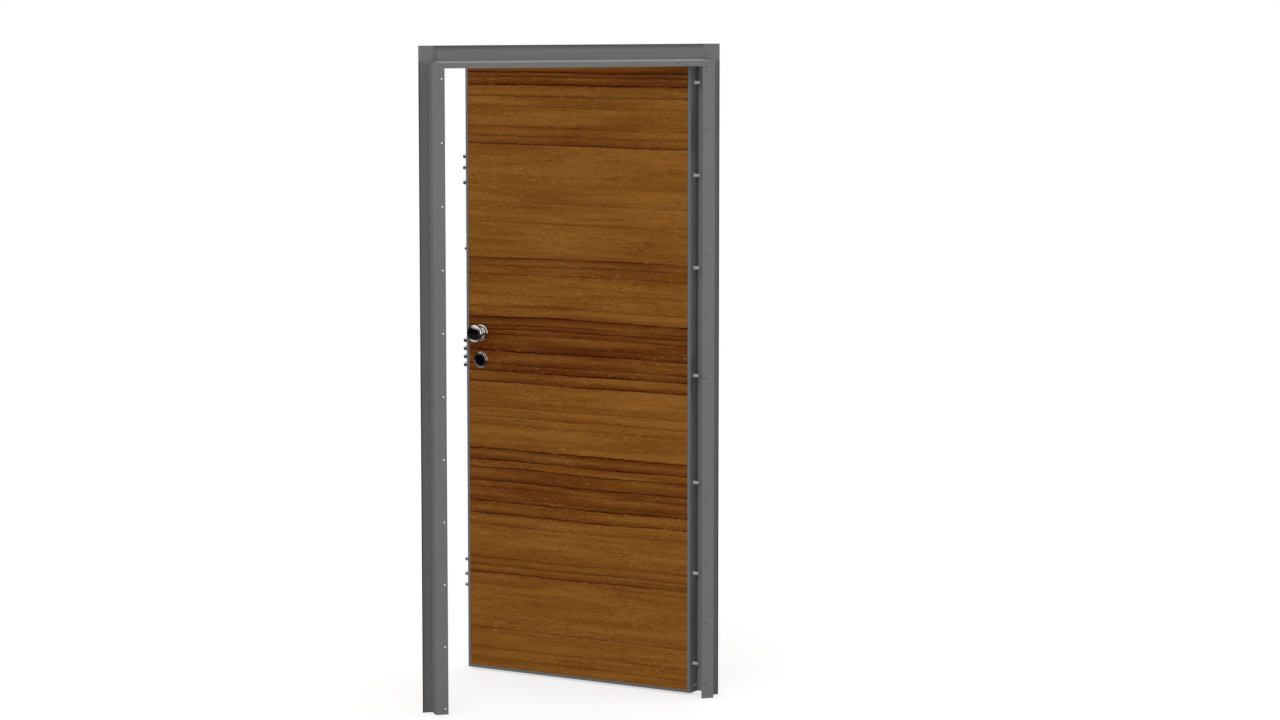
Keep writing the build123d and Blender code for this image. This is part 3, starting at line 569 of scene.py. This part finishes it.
# %% Materials: steel, aluminium and chrome
def metal(name, colour, along, smooth, rough, bump, bareness=1.0):
    """A metal with its own tone, scratch direction and range of roughness. Bareness 0 is a matt coat."""
    material, tree, shader, place = new_material(name)
    skin = add_group(tree, ground_metal, {"Place": place, "Along": along, "Smooth": smooth, "Rough": rough})
    tree.links.new(tinted(tree, colour, skin.outputs["Tone"]), shader.inputs["Base Color"])
    tree.links.new(skin.outputs["Roughness"], shader.inputs["Roughness"])
    shader.inputs["Metallic"].default_value = bareness
    add_bump(tree, shader, skin.outputs["Height"], bump, 0.0002)
    return material


zinc_tone = (0.78, 0.78, 0.76, 1.0)
bare_steel = metal("bare_steel", (0.42, 0.43, 0.44, 1.0), (500.0, 500.0, 10.0), 0.30, 0.46, 0.15)
brushed_steel = metal("brushed_steel", (0.56, 0.56, 0.55, 1.0), (900.0, 900.0, 12.0), 0.22, 0.36, 0.12)
aluminium = metal("aluminium", (0.62, 0.63, 0.64, 1.0), (14.0, 14.0, 700.0), 0.30, 0.44, 0.15)
zinc_plate = metal("zinc_plate", zinc_tone, (90.0, 90.0, 90.0), 0.38, 0.52, 0.05, bareness=0.35)
bolt_chrome = metal("bolt_chrome", (0.80, 0.80, 0.80, 1.0), (60.0, 60.0, 60.0), 0.06, 0.14, 0.02)
furniture_chrome = metal("furniture_chrome", (0.88, 0.86, 0.82, 1.0), (40.0, 40.0, 40.0), 0.03, 0.06, 0.01)
print("six metals")

# %% [markdown]
# ## Black gloss, rubber and plastic
# The guard disc of the cylinder is glossy black. The seals are soft matt rubber with a fine bloom, and the
# button of the drop seal is pale plastic. Each is dull alone, so each gets a tone that drifts a little.

# %% Materials: gloss, rubber and plastic
def soft_material(name, dark, light, scale, smooth, rough, bump):
    """A plastic or rubber whose tone and gloss drift between two values."""
    material, tree, shader, place = new_material(name)
    noise = {"Vector": place, "Scale": scale, "Detail": 3.0}
    drift = add_node(tree, "ShaderNodeTexNoise", noise).outputs["Fac"]
    colour = blend_colours(tree, spread_range(tree, drift, 0.3, 0.7), dark, light)
    tree.links.new(colour, shader.inputs["Base Color"])
    tree.links.new(spread_range(tree, drift, 0.3, 0.7, smooth, rough), shader.inputs["Roughness"])
    add_bump(tree, shader, drift, bump, 0.0002)
    return material


gloss_tones = ((0.0015, 0.0015, 0.002, 1.0), (0.003, 0.003, 0.004, 1.0))
rubber_tones = ((0.012, 0.012, 0.012, 1.0), (0.026, 0.026, 0.026, 1.0))
plastic_tones = ((0.28, 0.28, 0.27, 1.0), (0.36, 0.36, 0.35, 1.0))
black_gloss = soft_material("black_gloss", *gloss_tones, 120.0, 0.08, 0.13, 0.01)
rubber = soft_material("rubber", *rubber_tones, 260.0, 0.62, 0.80, 0.30)
pale_plastic = soft_material("pale_plastic", *plastic_tones, 160.0, 0.35, 0.45, 0.06)
finishes = {
    "frame_steel": frame_paint, "leaf_steel": leaf_paint, "veneer": veneer, "bare_steel": bare_steel,
    "brushed_steel": brushed_steel, "hinge_steel": hinge_paint, "aluminium": aluminium,
    "bolt_chrome": bolt_chrome, "furniture_chrome": furniture_chrome, "black_gloss": black_gloss,
    "rubber": rubber, "pale_plastic": pale_plastic,
}
print(len(finishes), "finishes")

# %% [markdown]
# ## Dress the measured solids
# The record says which finish each solid wears. Folded sheet, bolts and bars have their true shape
# already, so they keep their mesh and only get the new material. The dog pins are the one exception: they
# keep their slot but wear zinc plate, which is paler.

# %% Give every solid its finish
slot_of_node = {part["node"]: part["material_slot"] for part in frame["record"]["subparts"]}
for name, solid in nodes.items():
    solid.data.materials.clear()
    solid.data.materials.append(finishes[slot_of_node[name]])
nodes["dog_pins"].data.materials.clear()
nodes["dog_pins"].data.materials.append(zinc_plate)
print(len(slot_of_node), "solids dressed")

# %% [markdown]
# ## Turned fittings
# The knob, its rose, the guard round the cylinder and the two inner roses were turned on a lathe, so their
# whole shape is one profile. Spinning a drawn line would make them, but a disc that is extruded and scaled
# ring by ring follows the same profile and closes both ends by itself. Each profile is a list of depths
# and radii in millimetres, measured from the panel that the fitting sits on.

# %% Helper: turn a piece from its profile
MM = 0.001
TURNING_SIDES = 96


def turned(name, x, y, z, outward, profile):
    """Draw a disc out along Y, ring by ring. outward is -1 towards the street and 1 towards the room."""
    depth, radius = profile[0]
    bpy.ops.object.select_all(action="DESELECT")
    bpy.ops.mesh.primitive_circle_add(
        vertices=TURNING_SIDES, radius=radius * MM, fill_type="NGON",
        location=(x, y + outward * depth * MM, z), rotation=(math.pi / 2, 0.0, 0.0),
    )
    piece = bpy.context.active_object
    piece.name = name
    bpy.ops.object.transform_apply(location=True, rotation=True, scale=True)
    bpy.ops.object.mode_set(mode="EDIT")
    bpy.ops.mesh.select_all(action="SELECT")
    for next_depth, next_radius in profile[1:]:
        step = (0.0, outward * (next_depth - depth) * MM, 0.0)
        bpy.ops.mesh.extrude_region_move(TRANSFORM_OT_translate={"value": step})
        factor = next_radius / radius
        middle = (x, y + outward * next_depth * MM, z)
        bpy.ops.transform.resize(value=(factor, 1.0, factor), center_override=middle)
        depth, radius = next_depth, next_radius
    bpy.ops.mesh.select_all(action="SELECT")
    bpy.ops.mesh.normals_make_consistent(inside=False)
    bpy.ops.object.mode_set(mode="OBJECT")
    bpy.ops.object.shade_smooth_by_angle(angle=math.radians(40))
    return piece


def finish_piece(piece, body, material, replaced=(), swung=True):
    """Give a piece its material, swing it open with the leaf, and tell the frame where it belongs."""
    if swung:
        piece.data.transform(leaf_turn)
    piece.data.materials.clear()
    piece.data.materials.append(material)
    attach(piece, body)
    if replaced:
        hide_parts(*replaced)
    print(piece.name, "has", len(piece.data.polygons), "faces")


# %% Outer knob and its rose
rose_profile = [
    (0, 29), (1.6, 28.9), (3.9, 27.7), (5.7, 25.6), (6.6, 23.6), (6.7, 21.8), (5.6, 20.9), (5.6, 18.2),
    (7.2, 17.2), (7.9, 16), (8, 14.6), (8, 9),
]
knob_profile = [
    (8, 13.6), (9.4, 12.2), (11.5, 11.2), (14, 11), (20, 11), (23.5, 11.8), (26.2, 14), (28.6, 18),
    (30.4, 22.5), (32, 26), (34, 28.6), (36, 29.8), (38, 30), (40.2, 29.5), (42.6, 28.1), (44.9, 25.8),
    (46.9, 22.7), (48.6, 19), (50, 15), (51.1, 10.6), (51.7, 6), (52, 1),
]
knob_rose = turned("turned_knob_rose", furniture_x, panel_face_y, knob_z, -1, rose_profile)
finish_piece(knob_rose, "leaf", furniture_chrome, ["knob_rosette"])
knob = turned("turned_knob", furniture_x, panel_face_y, knob_z, -1, knob_profile)
finish_piece(knob, "leaf", furniture_chrome, ["knob"])

# %% Guard ring and its black disc
guard_profile = [
    (0, 28.7), (1.5, 28.6), (3.4, 27.5), (4.3, 26.2), (4.5, 25.2), (4.7, 24.7), (7.2, 23.9), (8.5, 22.9),
    (9, 21.6), (9, 20.6), (8.4, 20), (4.6, 19.8), (4.6, 4),
]
disc_profile = [
    (4.6, 19.4), (7.4, 19.4), (8.5, 18.9), (9.5, 17.6), (10.3, 15.6), (10.95, 13), (11.45, 10), (11.8, 6.6),
    (11.95, 3.2), (12, 1),
]
guard = turned("turned_guard_ring", furniture_x, panel_face_y, cylinder_z, -1, guard_profile)
finish_piece(guard, "leaf", furniture_chrome, ["defender_ring"])
disc = turned("domed_guard_disc", furniture_x, panel_face_y, cylinder_z, -1, disc_profile)
finish_piece(disc, "leaf", black_gloss, ["defender_disc"])

# %% Inner roses of the lever and the thumbturn
inner_rose_profile = [
    (0, 26), (5, 26), (6.4, 25.6), (7.4, 24.6), (8, 23), (8, 14.6), (7.2, 13.8), (7.2, 9.4),
]
for name, z, node in (("lever_rose", knob_z, "handle_rose"), ("turn_rose", cylinder_z, "thumbturn_rose")):
    rose = turned(name, furniture_x, inner_face_y, z, 1, inner_rose_profile)
    finish_piece(rose, "leaf", furniture_chrome, [node])

# %% [markdown]
# ## The lever
# A cast lever has a round neck that runs into a flat bar with soft edges. One block could be cut to it,
# but the parts are simpler to shape alone: the neck is turned, the bar is a box whose far end is pulled
# narrower and whose edges are bevelled, and both are joined.

# %% Helper: a box with its size and place in the mesh
def block(name, size, middle, rotation=(0.0, 0.0, 0.0)):
    """Add a box of a given size around a middle."""
    bpy.ops.object.select_all(action="DESELECT")
    bpy.ops.mesh.primitive_cube_add(size=1.0, location=middle, rotation=rotation)
    box = bpy.context.active_object
    box.name = name
    box.scale = size
    bpy.ops.object.transform_apply(location=True, rotation=True, scale=True)
    return box


# %% Lever
bar_middle_depth = 42.5
bar_thickness = 11.0
bar_height = 18.0
bar_length = 125.0
bar_overhang = 9.0
bar_taper = (1.0, 0.86, 0.80)
bar_edge = 3.4
neck_profile = [(7.2, 10.4), (8.6, 9.4), (11, 9), (40, 9), (43, 8.6), (45, 7.6), (46, 6), (46, 1)]
neck = turned("lever_neck", furniture_x, inner_face_y, knob_z, 1, neck_profile)
bar_middle = (
    furniture_x + (bar_length / 2 - bar_overhang) * MM,
    inner_face_y + bar_middle_depth * MM,
    knob_z,
)
bar = block("lever_bar", (bar_length * MM, bar_thickness * MM, bar_height * MM), bar_middle)
bpy.ops.object.mode_set(mode="EDIT")
bpy.ops.mesh.select_all(action="SELECT")
bpy.ops.mesh.subdivide(number_cuts=7)
bpy.ops.mesh.select_all(action="DESELECT")
bpy.ops.object.mode_set(mode="OBJECT")
for vertex in bar.data.vertices:
    vertex.select = vertex.co.x > bar_middle[0] + 0.49 * bar_length * MM
bpy.ops.object.mode_set(mode="EDIT")
bpy.ops.transform.resize(
    value=bar_taper, center_override=bar_middle,
    use_proportional_edit=True, proportional_edit_falloff="SMOOTH", proportional_size=0.1,
)
bpy.ops.object.mode_set(mode="OBJECT")
bevel = bar.modifiers.new("soft_edges", "BEVEL")
bevel.width = bar_edge * MM
bevel.segments = 5
bevel.limit_method = "ANGLE"
bevel.angle_limit = math.radians(50)
select_only(bar)
bpy.ops.object.modifier_apply(modifier=bevel.name)
bpy.ops.object.shade_smooth_by_angle(angle=math.radians(40))
select_only(neck, bar)
bpy.ops.object.join()
neck.name = "cast_lever"
finish_piece(neck, "leaf", furniture_chrome, ["lever_handle"])

# %% [markdown]
# ## Screws
# Countersunk screws hold the faceplates, the hinges and the strike plates. A plain disc would pass from
# afar, but the cross recess is what tells a screw. One screw is turned and its recess is cut by a boolean
# with two crossed bars. Every other screw is a copy of its mesh, moved to its place.

# %% The pattern screw, its head in the plane of Y and looking along minus Y
screw_profile = [(-1.2, 2.6), (0, 4.1), (0.30, 4.1), (0.50, 3.8), (0.62, 3.0), (0.66, 1.2)]
screw = turned("pattern_screw", 0.0, 0.0, 0.0, -1, screw_profile)
recess_size = (4.6 * MM, 1.6 * MM, 0.9 * MM)
recess_middle = (0.0, -0.66 * MM, 0.0)
for bar_turn in (0.0, math.pi / 2):
    cutter = block("recess_cutter", recess_size, recess_middle, (0.0, bar_turn, 0.0))
    cut = screw.modifiers.new("recess", "BOOLEAN")
    cut.object = cutter
    cut.operation = "DIFFERENCE"
    select_only(screw)
    bpy.ops.object.modifier_apply(modifier=cut.name)
    select_only(cutter)
    bpy.ops.object.delete()
print("the pattern screw has", len(screw.data.polygons), "faces")


# %% Place the screws
def screw_set(name, body, places, swung):
    """Copy the pattern screw to each (place, facing, turn) and join the copies into one piece."""
    copies = []
    for place, facing, turn_angle in places:
        select_only(screw)
        bpy.ops.object.duplicate(linked=False)
        copy = bpy.context.active_object
        spin = Matrix.Rotation(math.radians(turn_angle), 4, "Y")
        look = Vector((0, -1, 0)).rotation_difference(Vector(facing)).to_matrix().to_4x4()
        copy.data.transform(Matrix.Translation(Vector(place)) @ look @ spin)
        copies.append(copy)
    select_only(*copies)
    bpy.ops.object.join()
    joined = bpy.context.active_object
    joined.name = name
    finish_piece(joined, body, zinc_plate, swung=swung)


bolt_y = -0.0156
plate_ends = {"main": (1.0455, 1.1575), "upper": (1.6731, 1.7903), "lower": (0.2775, 0.3947)}
faceplate_screw_inset = 0.0065
faceplate_places = []
for low, high in plate_ends.values():
    for z, turn_angle in ((low + faceplate_screw_inset, 20), (high - faceplate_screw_inset, 65)):
        faceplate_places.append(((lock_edge_x, bolt_y, z), (-1, 0, 0), turn_angle))
screw_set("faceplate_screws", "leaf", faceplate_places, True)

hinge_middles = (1.890, 1.075, 0.260)
hinge_screw_rises = ((0.016, 10), (0.056, 50))
leaf_plate_x, leaf_plate_y = -0.036, 0.0164
frame_plate_x, frame_plate_y = 0.0065, 0.0070
leaf_hinge_places = []
frame_hinge_places = []
for z in hinge_middles:
    for rise, turn_angle in hinge_screw_rises:
        leaf_hinge_places.append(((leaf_plate_x, leaf_plate_y, z + rise), (0, 1, 0), turn_angle))
        frame_hinge_places.append(((frame_plate_x, frame_plate_y, z - rise), (0, 1, 0), turn_angle + 25))
screw_set("leaf_hinge_screws", "leaf", leaf_hinge_places, True)
screw_set("frame_hinge_screws", "frame", frame_hinge_places, False)

strike_faces = {
    "main": (-0.95954, 1.0595, 1.1435, 0.0120), "upper": (-0.95947, 1.6871, 1.7763, 0.0105),
    "lower": (-0.95947, 0.2915, 0.3807, 0.0105), "single": (-0.95493, 1.4610, 1.4610, 0.0095),
}
strike_screw_room = 0.005
strike_places = []
for face_x, low, high, slot_radius in strike_faces.values():
    reach = slot_radius + strike_screw_room
    for z, turn_angle in ((low - reach, 35), (high + reach, 80)):
        strike_places.append(((face_x, bolt_y, z), (1, 0, 0), turn_angle))
screw_set("strike_plate_screws", "frame", strike_places, False)
select_only(screw)
bpy.ops.object.delete()

# %% [markdown]
# ## Corner seams
# Where the head meets the ears of the jambs the joint is welded shut and painted over, so it shows as a
# line but lets no light through. A groove drawn in the paint would not close the joint. A slim bead in it
# does: a bar cut into short steps and made slightly uneven, as a weld is.

# %% Two weld beads
seam_half_width = 0.0005
seam_front_y = 0.0003
seam_back_y = 0.0017
bead_end_room = 0.0006
bead_unevenness = 0.00008
bead_size = (
    2 * seam_half_width,
    seam_back_y - seam_front_y,
    frame_top_z - web_top_z - bead_end_room,
)
beads = []
for side in (-1, 1):
    bead_middle = (
        doorway_middle_x + side * seam_middle,
        (seam_front_y + seam_back_y) / 2,
        (web_top_z + frame_top_z) / 2,
    )
    bead = block("weld_bead", bead_size, bead_middle)
    bpy.ops.object.mode_set(mode="EDIT")
    bpy.ops.mesh.select_all(action="SELECT")
    bpy.ops.mesh.subdivide(number_cuts=9)
    bpy.ops.transform.vertex_random(offset=bead_unevenness, uniform=0.3, seed=side + 5)
    bpy.ops.object.mode_set(mode="OBJECT")
    bpy.ops.object.shade_smooth_by_angle(angle=math.radians(60))
    beads.append(bead)
select_only(*beads)
bpy.ops.object.join()
bead_pair = bpy.context.active_object
bead_pair.name = "corner_weld_beads"
finish_piece(bead_pair, "frame", frame_paint, swung=False)
